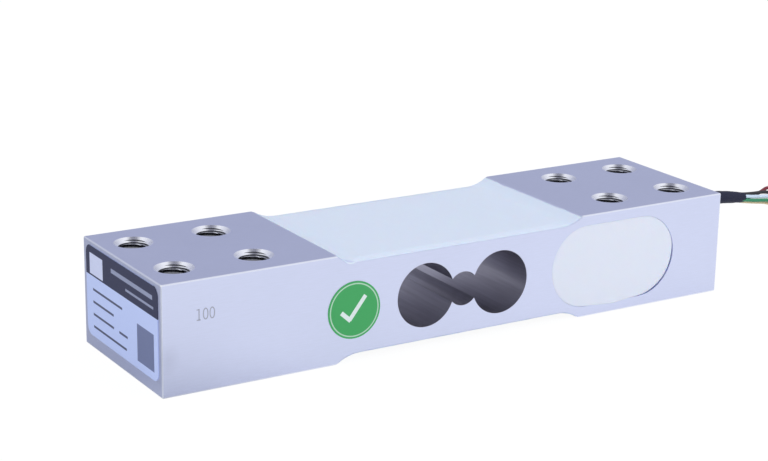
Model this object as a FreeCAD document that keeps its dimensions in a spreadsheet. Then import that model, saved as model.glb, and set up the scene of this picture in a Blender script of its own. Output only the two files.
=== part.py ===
"""Single point load cell: a machined aluminium beam with bonded gauges, silicone coatings and five leads.

Frame: +X along the beam towards the lead end, -Y towards the pocket side, +Z up, origin at the
bottom centre of the beam. Lengths are millimetres.
"""

import FreeCAD, Part
import math
import os

import Sketcher
from FreeCAD import Placement, Rotation, Vector

os.makedirs("parts", exist_ok=True)
doc = FreeCAD.newDocument("LoadCell")

# ---------------------------------------------------------------- driving dimensions

SIZES = {
    "beam_length": 150,
    "beam_width": 40,
    "beam_height": 25,
    "edge_break": 0.2,
    "waist_length": 66,
    "waist_depth": 2,
    "waist_radius": 10,
    "bore_diameter": 15,
    "bore_offset": 10,  # each flexure bore's axis from mid length
    "neck_diameter": 8,
    "screw_margin": 7.7,  # outer screw holes from the end face
    "screw_pitch_along": 19,
    "screw_pitch_across": 20.6,
    "tap_diameter": 6.8,  # M8
    "countersink_diameter": 8.8,
    "pocket_length": 36,
    "pocket_height": 20,
    "pocket_depth": 5,
    "pocket_margin": 14.25,  # pocket's near end from the lead end face
    "potting_recess": 0.15,
    "potting_round": 0.6,
    "lead_bore_diameter": 3.6,
    "lead_bore_height": 17.5,
    "cross_bore_margin": 19.5,  # cross bore's axis from the lead end face
    "duct_diameter": 2.6,
    "duct_margin": 6,  # duct's axis from the waist's end
    "duct_side_margin": 2.8,  # duct's axis from the pocket side
    "coating_thickness": 0.5,
    "coating_inset": 0.15,
    "film_length": 9,
    "film_width": 6,
    "film_thickness": 0.06,
    "grid_line": 0.18,
    "grid_gap": 0.18,
    "grid_length": 4.5,
    "grid_lines": 9,
    "foil_thickness": 0.03,
    "terminal_length": 4,
    "terminal_width": 8,
    "terminal_thickness": 0.12,
    "wire_diameter": 0.3,
    "board_length": 19,
    "board_height": 12,
    "board_thickness": 0.8,
    "pad_length": 1.6,
    "pad_width": 1.2,
    "pad_thickness": 0.05,
    "resistor_length": 2,
    "resistor_width": 1.25,
    "resistor_height": 0.5,
    "lead_diameter": 0.9,
    "conductor_diameter": 0.5,
    "tip_length": 6,
    "sleeve_bore": 2.6,
    "sleeve_wall": 0.25,
    "sleeve_entry": 6,  # sleeve and seal inside the lead bore
    "label_width": 37,
    "label_height": 21,
    "label_corner": 2.2,
    "label_thickness": 0.12,
    "label_rise": 1,  # label's centre above the beam's mid height
    "sticker_diameter": 13.2,
    "sticker_thickness": 0.1,
    "sticker_offset": 28.7,  # from mid length, towards the label end
    "sticker_drop": 0.4,  # sticker's centre below the beam's mid height
}

sheet = doc.addObject("Spreadsheet::Sheet", "Sizes")
for row, (alias, value) in enumerate(SIZES.items(), start=1):
    sheet.set(f"A{row}", alias.replace("_", " "))
    sheet.set(f"B{row}", str(value))
    sheet.setAlias(f"B{row}", alias)
doc.recompute()


def size(alias):
    """A driving dimension, read back from the spreadsheet."""
    return float(sheet.get(alias))


def bind(thing, prop, formula):
    """Tie a property to a formula of spreadsheet aliases, each written as <alias>."""
    thing.setExpression(prop, formula.replace("<", "Sizes.").replace(">", ""))


# ---------------------------------------------------------------- shared ways of drawing


def new_body(label):
    body = doc.addObject("PartDesign::Body", label)
    body.Label = label
    return body


def new_sketch(body, name, plane, x="0", y="0", z="0"):
    """A sketch on one of the body's origin planes, shifted in the sketch's own axes."""
    sketch = body.newObject("Sketcher::SketchObject", name)
    origin_plane = next(f for f in body.Origin.OriginFeatures if f.Role == plane)
    sketch.AttachmentSupport = [(origin_plane, "")]
    sketch.MapMode = "FlatFace"
    for axis, formula in zip("xyz", (x, y, z)):
        if formula != "0":
            bind(sketch, f"AttachmentOffset.Base.{axis}", formula)
    return sketch


def measure(sketch, kind, *where, formula, name):
    """Add a named dimension to a sketch and tie it to the spreadsheet."""
    index = sketch.addConstraint(Sketcher.Constraint(kind, *where))
    sketch.renameConstraint(index, name)
    bind(sketch, f"Constraints.{name}", formula)


def draw_rectangle(sketch, width, height):
    """A rectangle centred on the sketch's origin."""
    corners = [Vector(x, y, 0) for x, y in ((-5, -3), (5, -3), (5, 3), (-5, 3))]
    for start, end in zip(corners, corners[1:] + corners[:1]):
        sketch.addGeometry(Part.LineSegment(start, end))
    for side in range(4):
        sketch.addConstraint(Sketcher.Constraint("Coincident", side, 2, (side + 1) % 4, 1))
        sketch.addConstraint(Sketcher.Constraint("Vertical" if side % 2 else "Horizontal", side))
    sketch.addConstraint(Sketcher.Constraint("Symmetric", 0, 1, 2, 1, -1, 1))
    measure(sketch, "DistanceX", 0, 1, 0, 2, 10.0, formula=width, name="width")
    measure(sketch, "DistanceY", 1, 1, 1, 2, 6.0, formula=height, name="height")


def draw_circle(sketch, diameter, name="diameter"):
    """A circle on the sketch's origin."""
    circle = sketch.addGeometry(Part.Circle(Vector(0, 0, 0), Vector(0, 0, 1), 3))
    sketch.addConstraint(Sketcher.Constraint("Coincident", circle, 3, -1, 1))
    measure(sketch, "Diameter", circle, 6.0, formula=diameter, name=name)


def draw_obround(sketch, length, height):
    """A slot shape with full round ends, centred on the sketch's origin."""
    half, r = 8, 10
    up = Vector(0, 0, 1)
    sketch.addGeometry(Part.LineSegment(Vector(-half, -r, 0), Vector(half, -r, 0)))
    sketch.addGeometry(
        Part.ArcOfCircle(Part.Circle(Vector(half, 0, 0), up, r), -math.pi / 2, math.pi / 2)
    )
    sketch.addGeometry(Part.LineSegment(Vector(half, r, 0), Vector(-half, r, 0)))
    sketch.addGeometry(
        Part.ArcOfCircle(Part.Circle(Vector(-half, 0, 0), up, r), math.pi / 2, 3 * math.pi / 2)
    )
    for first, second in ((0, 1), (2, 3)):
        sketch.addConstraint(Sketcher.Constraint("Tangent", first, 2, second, 1))
        sketch.addConstraint(Sketcher.Constraint("Tangent", second, 2, (second + 1) % 4, 1))
    sketch.addConstraint(Sketcher.Constraint("Horizontal", 0))
    sketch.addConstraint(Sketcher.Constraint("Symmetric", 1, 3, 3, 3, -1, 1))
    measure(sketch, "Radius", 1, float(r), formula=f"({height}) / 2", name="radius")
    measure(
        sketch, "DistanceX", 3, 3, 1, 3, 2.0 * half, formula=f"({length}) - ({height})", name="centres"
    )


def draw_waist(sketch, depth):
    """A waist's side view: its mouth on the sketch's X axis, and its floor joined by round corners.

    The mouth is drawn 1 mm high, so that a cut leaves nothing above it.
    """
    length, radius, above = size("waist_length"), size("waist_radius"), 1.0
    deep = sheet_value(depth)
    reach = math.sqrt(radius**2 - (radius - deep) ** 2)
    foot = length / 2 - reach
    rise = math.asin((radius - deep) / radius)
    up = Vector(0, 0, 1)
    right = Part.Circle(Vector(foot, radius - deep, 0), up, radius)
    left = Part.Circle(Vector(-foot, radius - deep, 0), up, radius)
    mouth, top = length / 2, above
    sketch.addGeometry(Part.LineSegment(Vector(-foot, -deep, 0), Vector(foot, -deep, 0)))
    sketch.addGeometry(Part.ArcOfCircle(right, -math.pi / 2, -rise))
    sketch.addGeometry(Part.LineSegment(Vector(mouth, 0, 0), Vector(mouth, top, 0)))
    sketch.addGeometry(Part.LineSegment(Vector(mouth, top, 0), Vector(-mouth, top, 0)))
    sketch.addGeometry(Part.LineSegment(Vector(-mouth, top, 0), Vector(-mouth, 0, 0)))
    sketch.addGeometry(Part.ArcOfCircle(left, math.pi + rise, 3 * math.pi / 2))
    sketch.addConstraint(Sketcher.Constraint("Tangent", 0, 2, 1, 1))
    sketch.addConstraint(Sketcher.Constraint("Tangent", 5, 2, 0, 1))
    for first, second in ((1, 2), (2, 3), (3, 4), (4, 5)):
        sketch.addConstraint(Sketcher.Constraint("Coincident", first, 2, second, 1))
    for kind, line in (("Horizontal", 0), ("Vertical", 2), ("Horizontal", 3), ("Vertical", 4)):
        sketch.addConstraint(Sketcher.Constraint(kind, line))
    sketch.addConstraint(Sketcher.Constraint("Equal", 1, 5))
    sketch.addConstraint(Sketcher.Constraint("PointOnObject", 2, 1, -1))
    sketch.addConstraint(Sketcher.Constraint("Symmetric", 4, 2, 2, 1, -1, 1))
    measure(sketch, "Radius", 1, radius, formula="<waist_radius>", name="corner")
    measure(sketch, "DistanceX", 4, 2, 2, 1, length, formula="<waist_length>", name="mouth")
    measure(sketch, "DistanceY", 0, 1, -1, 1, deep, formula=depth, name="depth")
    sketch.addConstraint(Sketcher.Constraint("DistanceY", 2, 1, 2, 2, above))


def sheet_value(formula):
    """The number that a formula of spreadsheet aliases gives."""
    for alias in sorted(SIZES, key=len, reverse=True):
        formula = formula.replace(f"<{alias}>", repr(size(alias)))
    return FreeCAD.Units.Quantity(formula).Value


def pad(body, sketch, length, both_ways=False, reversed_way=False):
    feature = body.newObject("PartDesign::Pad", f"{sketch.Name}_pad")
    feature.Profile = sketch
    bind(feature, "Length", length)
    feature.SideType = "Symmetric" if both_ways else "One side"
    feature.Reversed = reversed_way
    body.Tip = feature
    return feature


def pocket(body, sketch, length, both_ways=False, reversed_way=False):
    """Cut a sketch's outline into the body, and make sure that something came off."""
    doc.recompute()
    before = body.Shape.Volume
    feature = body.newObject("PartDesign::Pocket", f"{sketch.Name}_cut")
    feature.Profile = sketch
    bind(feature, "Length", length)
    feature.SideType = "Symmetric" if both_ways else "One side"
    feature.Reversed = reversed_way
    body.Tip = feature
    doc.recompute()
    if not body.Shape.Volume < before:
        raise RuntimeError(f"{feature.Name} cuts nothing")
    return feature


def mirror(body, feature, plane):
    copy = body.newObject("PartDesign::Mirrored", f"{feature.Name}_mirrored")
    copy.Originals = [feature]
    copy.MirrorPlane = (next(f for f in body.Origin.OriginFeatures if f.Role == plane), [""])
    body.Tip = copy
    doc.recompute()
    return copy


def edges_where(feature, test):
    """Names of the feature's edges that pass a test."""
    return [f"Edge{i}" for i, edge in enumerate(feature.Shape.Edges, start=1) if test(edge)]


def box(label, length, width, height, x, y, z):
    """A plain block, given by its sizes and its centre, each a formula."""
    block = doc.addObject("Part::Box", label)
    block.Label = label
    for prop, extent, axis, centre in (
        ("Length", length, "x", x),
        ("Width", width, "y", y),
        ("Height", height, "z", z),
    ):
        bind(block, prop, extent)
        bind(block, f"Placement.Base.{axis}", f"{centre} - ({extent}) / 2")
    return block


def keep(label, shape, placement=None):
    """A piece whose shape is worked out here."""
    piece = doc.addObject("Part::Feature", label)
    piece.Label = label
    piece.Shape = shape
    piece.Placement = placement or Placement()
    return piece


# ---------------------------------------------------------------- beam

beam = new_body("beam")
bind(beam, "Placement.Base.z", "<beam_height> / 2")

block_sketch = new_sketch(beam, "block", "XY_Plane")
draw_rectangle(block_sketch, "<beam_length>", "<beam_width>")
pad(beam, block_sketch, "<beam_height>", both_ways=True)

waist_sketch = new_sketch(beam, "waist", "XZ_Plane", y="<beam_height> / 2")
draw_waist(waist_sketch, "<waist_depth>")
top_waist = pocket(beam, waist_sketch, "<beam_width> + 2", both_ways=True)
both_waists = mirror(beam, top_waist, "XY_Plane")


def is_outer_edge(edge):
    """Every edge of the waisted bar but the smooth ones where a waist's floor turns up into its corner."""
    middle = edge.CenterOfMass
    floor = size("beam_height") / 2 - size("waist_depth")
    crosswise = edge.BoundBox.YLength > size("beam_width") - 0.01
    return not (crosswise and abs(abs(middle.z) - floor) < 0.01)


edge_break = beam.newObject("PartDesign::Chamfer", "edge_break")
edge_break.Base = (both_waists, edges_where(both_waists, is_outer_edge))
bind(edge_break, "Size", "<edge_break>")
beam.Tip = edge_break
doc.recompute()

flexure_sketch = new_sketch(beam, "flexure_bore", "XZ_Plane", x="0 - <bore_offset>")
draw_circle(flexure_sketch, "<bore_diameter>")
flexure_bore = pocket(beam, flexure_sketch, "<beam_width> + 2", both_ways=True)
mirror(beam, flexure_bore, "YZ_Plane")

neck_sketch = new_sketch(beam, "neck_bore", "XZ_Plane")
draw_circle(neck_sketch, "<neck_diameter>")
pocket(beam, neck_sketch, "<beam_width> + 2", both_ways=True)


def draw_screw_holes(sketch):
    """Two rectangles of four circles, one at each end."""
    for end in (-1, 1):
        for column in (0, 1):
            for row in (-1, 1):
                name = f"hole_{'lead' if end > 0 else 'label'}_{column}_{'far' if row > 0 else 'near'}"
                along = f"{end} * (<beam_length> / 2 - <screw_margin> - {column} * <screw_pitch_along>)"
                across = f"{row} * <screw_pitch_across> / 2"
                x, y, wide = sheet_value(along), sheet_value(across), size("tap_diameter")
                circle = sketch.addGeometry(Part.Circle(Vector(x, y, 0), Vector(0, 0, 1), wide / 2))
                measure(sketch, "DistanceX", -1, 1, circle, 3, x, formula=along, name=f"{name}_x")
                measure(sketch, "DistanceY", -1, 1, circle, 3, y, formula=across, name=f"{name}_y")
                measure(sketch, "Diameter", circle, wide, formula="<tap_diameter>", name=f"{name}_d")


def drill_screw_holes(name, sketch, reversed_way):
    """Tapping holes right through the bar, with a countersink at the sketch's side."""
    doc.recompute()
    before = beam.Shape.Volume
    hole = beam.newObject("PartDesign::Hole", name)
    hole.Profile = sketch
    hole.Threaded = False
    bind(hole, "Diameter", "<tap_diameter>")
    hole.DepthType = "ThroughAll"
    hole.HoleCutType = "Countersink"
    hole.HoleCutCustomValues = True
    bind(hole, "HoleCutDiameter", "<countersink_diameter>")
    hole.HoleCutCountersinkAngle = 90
    hole.Reversed = reversed_way
    beam.Tip = hole
    doc.recompute()
    if not beam.Shape.Volume < before:
        raise RuntimeError(f"{name} cuts nothing")


top_holes_sketch = new_sketch(beam, "top_screw_holes", "XY_Plane", z="<beam_height> / 2")
draw_screw_holes(top_holes_sketch)
drill_screw_holes("top_holes", top_holes_sketch, False)

bottom_holes_sketch = new_sketch(beam, "bottom_screw_holes", "XY_Plane", z="0 - <beam_height> / 2")
draw_screw_holes(bottom_holes_sketch)
drill_screw_holes("bottom_holes", bottom_holes_sketch, True)

POCKET_X = "<beam_length> / 2 - <pocket_margin> - <pocket_length> / 2"
pocket_sketch = new_sketch(beam, "side_pocket", "XZ_Plane", x=POCKET_X, z="<beam_width> / 2")
draw_obround(pocket_sketch, "<pocket_length>", "<pocket_height>")
pocket(beam, pocket_sketch, "<pocket_depth>")

EXIT_HEIGHT = "<lead_bore_height> - <beam_height> / 2"
lead_bore_sketch = new_sketch(beam, "lead_bore", "YZ_Plane", y=EXIT_HEIGHT, z="<beam_length> / 2")
draw_circle(lead_bore_sketch, "<lead_bore_diameter>")
pocket(beam, lead_bore_sketch, "<cross_bore_margin>")

CROSS_X = "<beam_length> / 2 - <cross_bore_margin>"
cross_bore_sketch = new_sketch(
    beam, "cross_bore", "XZ_Plane", x=CROSS_X, y=EXIT_HEIGHT, z="<beam_width> / 2 - <pocket_depth>"
)
draw_circle(cross_bore_sketch, "<lead_bore_diameter>")
pocket(beam, cross_bore_sketch, "<beam_width> / 2 - <pocket_depth> + <lead_bore_diameter> / 2")

# A short duct from each waist's floor into the pocket, for the gauge wires.
DUCT_X = "<waist_length> / 2 - <duct_margin>"
DUCT_Y = "<duct_side_margin> - <beam_width> / 2"
duct_sketch = new_sketch(beam, "wire_duct", "XY_Plane", x=DUCT_X, y=DUCT_Y, z="<beam_height> / 2")
draw_circle(duct_sketch, "<duct_diameter>")
duct = pocket(beam, duct_sketch, "<beam_height> / 2")
mirror(beam, duct, "XY_Plane")

# ---------------------------------------------------------------- gauges, terminals and their wires

GAUGE_SIDES = {"top": 1, "bottom": -1}
GAUGE_ENDS = {"label_end": -1, "lead_end": 1}


def above_floor(side, height):
    """Height of a centre that lies this far outside a waist's floor."""
    return f"<beam_height> / 2 + {side} * (<beam_height> / 2 - <waist_depth> + {height})"


def gauge_grid():
    """A meander foil, its lines along X, drawn flat round its own centre, with its two solder tabs."""
    line, gap, length = size("grid_line"), size("grid_gap"), size("grid_length")
    count = int(size("grid_lines"))
    pitch, thick = line + gap, size("foil_thickness")
    start = -(count - 1) / 2 * pitch
    strips = []
    for i in range(count):
        y = start + i * pitch - line / 2
        strips.append(Part.makeBox(length, line, thick, Vector(-length / 2, y, 0)))
        if i < count - 1:
            end = length / 2 if i % 2 == 0 else -length / 2 - 2 * line
            strips.append(Part.makeBox(2 * line, pitch + line, thick, Vector(end, y, 0)))
    tab = (size("film_width") - 2 * gap) / 2
    for row in (0, count - 1):
        y = start + row * pitch - line / 2 if row == 0 else start + row * pitch + line / 2 - tab / 2
        strips.append(Part.makeBox(1.5, tab / 2, thick, Vector(-length / 2 - 1.5, y, 0)))
    return strips[0].multiFuse(strips[1:]).removeSplitter()


gauge_parts = []
for side_name, side in GAUGE_SIDES.items():
    for end_name, end in GAUGE_ENDS.items():
        film = box(
            f"gauge_film_{side_name}_{end_name}",
            "<film_length>",
            "<film_width>",
            "<film_thickness>",
            f"{end} * <bore_offset>",
            "0",
            above_floor(side, "<film_thickness> / 2"),
        )
        grid = keep(f"gauge_grid_{side_name}_{end_name}", gauge_grid())
        grid.Placement.Rotation = Rotation(Vector(1, 0, 0), 0 if side > 0 else 180).multiply(
            Rotation(Vector(0, 0, 1), 180 if end < 0 else 0)
        )
        bind(grid, "Placement.Base.x", f"{end} * <bore_offset>")
        bind(grid, "Placement.Base.z", above_floor(side, "<film_thickness>"))
        gauge_parts += [film, grid]
    gauge_parts.append(
        box(
            f"terminal_strip_{side_name}",
            "<terminal_length>",
            "<terminal_width>",
            "<terminal_thickness>",
            "0",
            "0",
            above_floor(side, "<terminal_thickness> / 2"),
        )
    )
doc.recompute()


def rounded_path(points):
    """Straight runs joined by tangent arcs: for each, its edge and, for an arc, its centre and turn."""
    points = [Vector(*p) for p in points]
    steps, radii, start = [], [], points[0]
    for before, corner, after in zip(points, points[1:], points[2:]):
        into, out = corner - before, after - corner
        turn = into.getAngle(out)
        radius = 0.45 * min(into.Length, out.Length) / math.tan(turn / 2)
        set_back = radius * math.tan(turn / 2)
        into.normalize()
        out.normalize()
        begin, end = corner - into * set_back, corner + out * set_back
        toward = (out - into).normalize()
        centre = corner + toward * (radius / math.cos(turn / 2))
        steps.append(("run", start, begin))
        steps.append(("arc", begin, centre, into.cross(out), turn, into))
        radii.append(radius)
        start = end
    steps.append(("run", start, points[-1]))
    return steps, radii


def section(at, along, circles):
    """A flat face across the way, with the outer circle first and then any hole."""
    wires = [Part.Wire([Part.Circle(at, along, d / 2).toShape()]) for d in circles]
    return Part.Face(wires) if len(wires) == 1 else Part.Face(wires[0]).cut(Part.Face(wires[1])).Faces[0]


def tube(points, diameter, bore=0.0):
    """A round tube of true cylinders and torus bends. Its volume has to be its section times its length."""
    steps, radii = rounded_path(points)
    circles = [diameter, bore] if bore else [diameter]
    parts, length = [], 0.0
    for kind, begin, *rest in steps:
        if kind == "run":
            way = rest[0] - begin
            parts.append(section(begin, way, circles).extrude(way))
            length += way.Length
        else:
            centre, axis, turn, into = rest
            parts.append(section(begin, into, circles).revolve(centre, axis, math.degrees(turn)))
            length += (begin - centre).Length * turn
    solid = parts[0].multiFuse(parts[1:])
    wanted = math.pi / 4 * (diameter**2 - bore**2) * length
    if len(solid.Solids) != 1 or abs(solid.Volume - wanted) > 0.01 * wanted:
        raise RuntimeError(f"a tube holds {solid.Volume:.3f} and should hold {wanted:.3f}")
    return solid.Solids[0], length, min(radii)


def mitred_wire(points, diameter):
    """A hidden wire of straight runs that meet in mitres."""
    points = [Vector(*p) for p in points]
    end = Part.Wire([Part.Circle(points[0], points[1] - points[0], diameter / 2).toShape()])
    right_corners = 1
    return Part.Wire(Part.makePolygon(points)).makePipeShell([end], True, False, right_corners)


half_length, half_width = size("beam_length") / 2, size("beam_width") / 2
mid_height = size("beam_height") / 2
duct_x = sheet_value("<waist_length> / 2 - <duct_margin>")
duct_y = size("duct_side_margin") - half_width
board_face = size("pocket_depth") - half_width - size("board_thickness")
wire_lift = size("terminal_thickness") + size("wire_diameter") / 2
wire_pitch = 1.25 * size("wire_diameter")

# Four wires cross the waist's floor side by side, turn down the duct and end in the pocket.
terminal_edge = 0.35 * size("terminal_length")
duct_way = Vector(duct_x - terminal_edge, duct_y, 0).normalize()
duct_across = Vector(-duct_way.y, duct_way.x, 0)
wire_drop = size("beam_height") / 2 - size("waist_depth") - size("board_height") / 2 + 0.6
for side_name, side in GAUGE_SIDES.items():
    floor = mid_height + side * (mid_height - size("waist_depth"))
    wires = []
    for place in range(4):
        step = place - 1.5
        start = Vector(terminal_edge, step * 0.2 * size("terminal_width"), floor + side * wire_lift)
        mouth = Vector(duct_x, duct_y, start.z) + duct_across * (step * wire_pitch)
        foot = Vector(mouth.x, mouth.y, floor - side * wire_drop)
        wires.append(mitred_wire([start, mouth, foot], size("wire_diameter")))
    keep(f"gauge_wires_{side_name}", Part.makeCompound(wires))

# ---------------------------------------------------------------- board in the pocket

BOARD_X = POCKET_X
BOARD_Y = "<pocket_depth> - <beam_width> / 2 - <board_thickness> / 2"
BOARD_FACE = "<pocket_depth> - <beam_width> / 2 - <board_thickness>"
box(
    "bridge_board",
    "<board_length>",
    "<board_thickness>",
    "<board_height>",
    BOARD_X,
    BOARD_Y,
    "<beam_height> / 2",
)


def on_board(label, places, length, height, thickness):
    """Like small blocks on the board's face, as one piece."""
    centre_x = sheet_value(BOARD_X)
    blocks = [
        Part.makeBox(
            length,
            thickness,
            height,
            Vector(centre_x + x - length / 2, board_face - thickness, mid_height + z - height / 2),
        )
        for x, z in places
    ]
    return keep(label, Part.makeCompound(blocks))


pad_inset = size("board_length") / 2 - size("pad_length") / 2 - 0.4
pad_pitch = size("board_height") / 5
PAD_ROWS = range(-2, 3)
on_board(
    "board_pads",
    [(end * pad_inset, row * pad_pitch) for end in (-1, 1) for row in PAD_ROWS],
    size("pad_length"),
    size("pad_width"),
    size("pad_thickness"),
)
on_board(
    "trim_resistors",
    [(x * 1.6 * size("resistor_length"), z * 2.4 * size("resistor_width")) for x in (-1, 1) for z in (-1, 1)],
    size("resistor_length"),
    size("resistor_width"),
    size("resistor_height"),
)

# ---------------------------------------------------------------- leads

# Routes are measured from the lead end face, the beam's centre line and the surface that it stands on.
# Each starts on the sleeve's inner end and finishes on the coil's lead-in.
LEAD_ROUTES = {
    "red": [
        (-6.0, 0.76, 17.25),
        (4.0, 0.76, 17.25),
        (14.0, 0.76, 16.9),
        (21.0, 0.76, 16.0),
        (28.0, 0.76, 14.95),
        (32.5, 1.95, 15.3),
        (36.5, 2.2, 16.9),
        (41.0, 2.9, 12.9),
        (45.4, 4.9, 5.3),
        (50.0, 5.95, 0.5),
        (54.5, 5.95, 0.5),
    ],
    "black": [
        (-6.0, 0.47, 18.15),
        (4.0, 0.47, 18.15),
        (14.0, 0.47, 17.8),
        (21.0, 0.47, 16.9),
        (28.0, 0.47, 15.85),
        (35.0, 0.55, 15.7),
        (40.5, 1.4, 12.2),
        (45.4, 3.3, 7.0),
        (50.0, 5.48, 1.35),
        (54.5, 5.48, 1.35),
    ],
    "white": [
        (-6.0, -0.47, 18.15),
        (4.0, -0.47, 18.15),
        (14.0, -0.47, 17.8),
        (21.0, -0.47, 16.9),
        (28.0, -0.47, 15.85),
        (35.0, -0.6, 15.15),
        (40.5, 0.2, 11.5),
        (45.4, 2.4, 5.9),
        (50.0, 4.52, 1.35),
        (54.5, 4.52, 1.35),
    ],
    "green": [
        (-6.0, -0.76, 17.25),
        (4.0, -0.76, 17.25),
        (14.0, -0.76, 16.9),
        (21.0, -0.76, 16.0),
        (28.0, -0.76, 14.95),
        (35.0, -0.95, 14.15),
        (40.5, -0.4, 10.4),
        (45.4, 1.8, 4.8),
        (50.0, 4.05, 0.5),
        (54.5, 4.05, 0.5),
    ],
    "yellow": [
        (-6.0, 0.0, 16.7),
        (4.0, 0.0, 16.7),
        (14.0, 0.0, 16.35),
        (21.0, 0.0, 15.45),
        (28.0, 0.0, 14.4),
        (35.0, 0.15, 13.2),
        (40.5, 0.9, 9.5),
        (45.4, 3.0, 3.9),
        (50.0, 5.0, 0.5),
        (54.5, 5.0, 0.5),
    ],
}
LEAD_RING = 0.8  # how far each lead's axis lies from the sleeve's
SLEEVE_ROUTE = [(-6.0, 0.0, 17.5), (4.0, 0.0, 17.5), (14.0, 0.0, 17.15), (21.0, 0.0, 16.25), (26.0, 0.0, 15.5)]

# Inside the coil the leads leave its inner turn as five short straight tails, two lying on three.
TAIL_START = Vector(63.2, -19.3, 0)
TAIL_WAY = Vector(-0.42, 0.91, 0).normalize()
TAIL_LENGTH = 6.0
STUB_LENGTH = 2.5
TAIL_PLACES = {
    "red": (0.95, 0.5),
    "black": (0.48, 1.35),
    "white": (-0.48, 1.35),
    "green": (-0.95, 0.5),
    "yellow": (0.0, 0.5),
}


def from_end_face(points):
    return [(half_length + x, y, z) for x, y, z in points]


sleeve_diameter = size("sleeve_bore") + 2 * size("sleeve_wall")
sleeve, sleeve_length, _ = tube(from_end_face(SLEEVE_ROUTE), sleeve_diameter, size("sleeve_bore"))
keep("lead_sleeve", sleeve)
print(f"sleeve {sleeve_length:.1f} mm long")

tail_across = Vector(-TAIL_WAY.y, TAIL_WAY.x, 0)
tips = []
for colour, route in LEAD_ROUTES.items():
    lead, lead_length, tightest = tube(from_end_face(route), size("lead_diameter"))
    print(f"lead {colour}: {lead_length:.1f} mm to the coil, tightest bend {tightest:.1f} mm")
    across, height = TAIL_PLACES[colour]
    start = Vector(half_length, 0, height) + TAIL_START + TAIL_WAY * STUB_LENGTH + tail_across * across
    tail = Part.makeCylinder(size("lead_diameter") / 2, TAIL_LENGTH, start, TAIL_WAY)
    keep(f"lead_{colour}", Part.makeCompound([lead, tail]))
    tips.append(
        Part.makeCylinder(
            size("conductor_diameter") / 2, size("tip_length"), start + TAIL_WAY * TAIL_LENGTH, TAIL_WAY
        )
    )
keep("lead_tips", Part.makeCompound(tips))

# The hidden stretch: from in front of the board, along the cross bore and round into the lead bore.
cross_x = half_length - size("cross_bore_margin")
exit_height = size("lead_bore_height")
inner_leads = []
for place in range(5):
    angle = math.radians(54 + 72 * place)
    aside, z = LEAD_RING * math.cos(angle), exit_height + LEAD_RING * math.sin(angle)
    inner_route = [
        (cross_x - 8, board_face - 1.8 + aside, z),
        (cross_x - aside, board_face - 1.8 + aside, z),
        (cross_x - aside, aside, z),
        (half_length - size("sleeve_entry"), aside, z),
    ]
    inner_leads.append(mitred_wire(inner_route, size("lead_diameter")))
keep("inner_leads", Part.makeCompound(inner_leads))

# The seal fills the bore's mouth round the sleeve.
seal_length = size("sleeve_entry")
seal_start = Vector(half_length - seal_length, 0, exit_height)
seal = Part.makeCylinder(size("lead_bore_diameter") / 2, seal_length, seal_start, Vector(1, 0, 0))
keep("exit_seal", seal.cut(Part.makeCylinder(sleeve_diameter / 2 + 0.02, seal_length, seal_start, Vector(1, 0, 0))))

# The put-away length: one flat coil of the leads side by side, with a straight lead-in and a stub inside.
COIL_CENTRE = Vector(65.0, -9.0, 0)
COIL_OUTER, COIL_INNER, COIL_HEIGHT = 15.9, 9.9, 1.9
BUNDLE_WIDTH = 3.0
coil_centre = Vector(half_length, 0, 0) + COIL_CENTRE
up = Vector(0, 0, 1)
coil = Part.makeCylinder(COIL_OUTER, COIL_HEIGHT, coil_centre, up).cut(
    Part.makeCylinder(COIL_INNER, COIL_HEIGHT, coil_centre, up)
)
lead_in_start = LEAD_ROUTES["yellow"][-1]
lead_in = Part.makeBox(
    COIL_CENTRE.x - lead_in_start[0],
    BUNDLE_WIDTH,
    COIL_HEIGHT,
    Vector(half_length + lead_in_start[0], lead_in_start[1] - BUNDLE_WIDTH / 2, 0),
)
stub = Part.makeBox(STUB_LENGTH, BUNDLE_WIDTH, COIL_HEIGHT, Vector(0, -BUNDLE_WIDTH / 2, 0))
stub.Placement = Placement(
    Vector(half_length, 0, 0) + TAIL_START, Rotation(Vector(1, 0, 0), TAIL_WAY)
)
keep("lead_coil", coil.multiFuse([lead_in, stub]).removeSplitter())

# ---------------------------------------------------------------- label and sticker

label = new_body("rating_label")
bind(label, "Placement.Base.z", "<beam_height> / 2 + <label_rise>")
bind(label, "Placement.Base.x", "0 - <beam_length> / 2")
label_sketch = new_sketch(label, "label_outline", "YZ_Plane")
draw_rectangle(label_sketch, "<label_width>", "<label_height>")
label_pad = pad(label, label_sketch, "<label_thickness>", reversed_way=True)
doc.recompute()
label_corners = label.newObject("PartDesign::Fillet", "label_corners")
label_corners.Base = (
    label_pad,
    edges_where(label_pad, lambda e: e.BoundBox.XLength > 0.9 * size("label_thickness")),
)
bind(label_corners, "Radius", "<label_corner>")
label.Tip = label_corners

sticker = new_body("round_sticker")
bind(sticker, "Placement.Base.x", "0 - <sticker_offset>")
bind(sticker, "Placement.Base.y", "0 - <beam_width> / 2")
bind(sticker, "Placement.Base.z", "<beam_height> / 2 - <sticker_drop>")
sticker_sketch = new_sketch(sticker, "sticker_outline", "XZ_Plane")
draw_circle(sticker_sketch, "<sticker_diameter>")
pad(sticker, sticker_sketch, "<sticker_thickness>")
doc.recompute()

# ---------------------------------------------------------------- silicone

inside = [piece.Shape for piece in doc.Objects if piece.Label.startswith(("gauge_", "terminal_"))]
in_pocket = [
    piece.Shape
    for piece in doc.Objects
    if piece.Label in ("bridge_board", "board_pads", "trim_resistors", "inner_leads")
    or piece.Label.startswith("gauge_wires")
]

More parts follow.
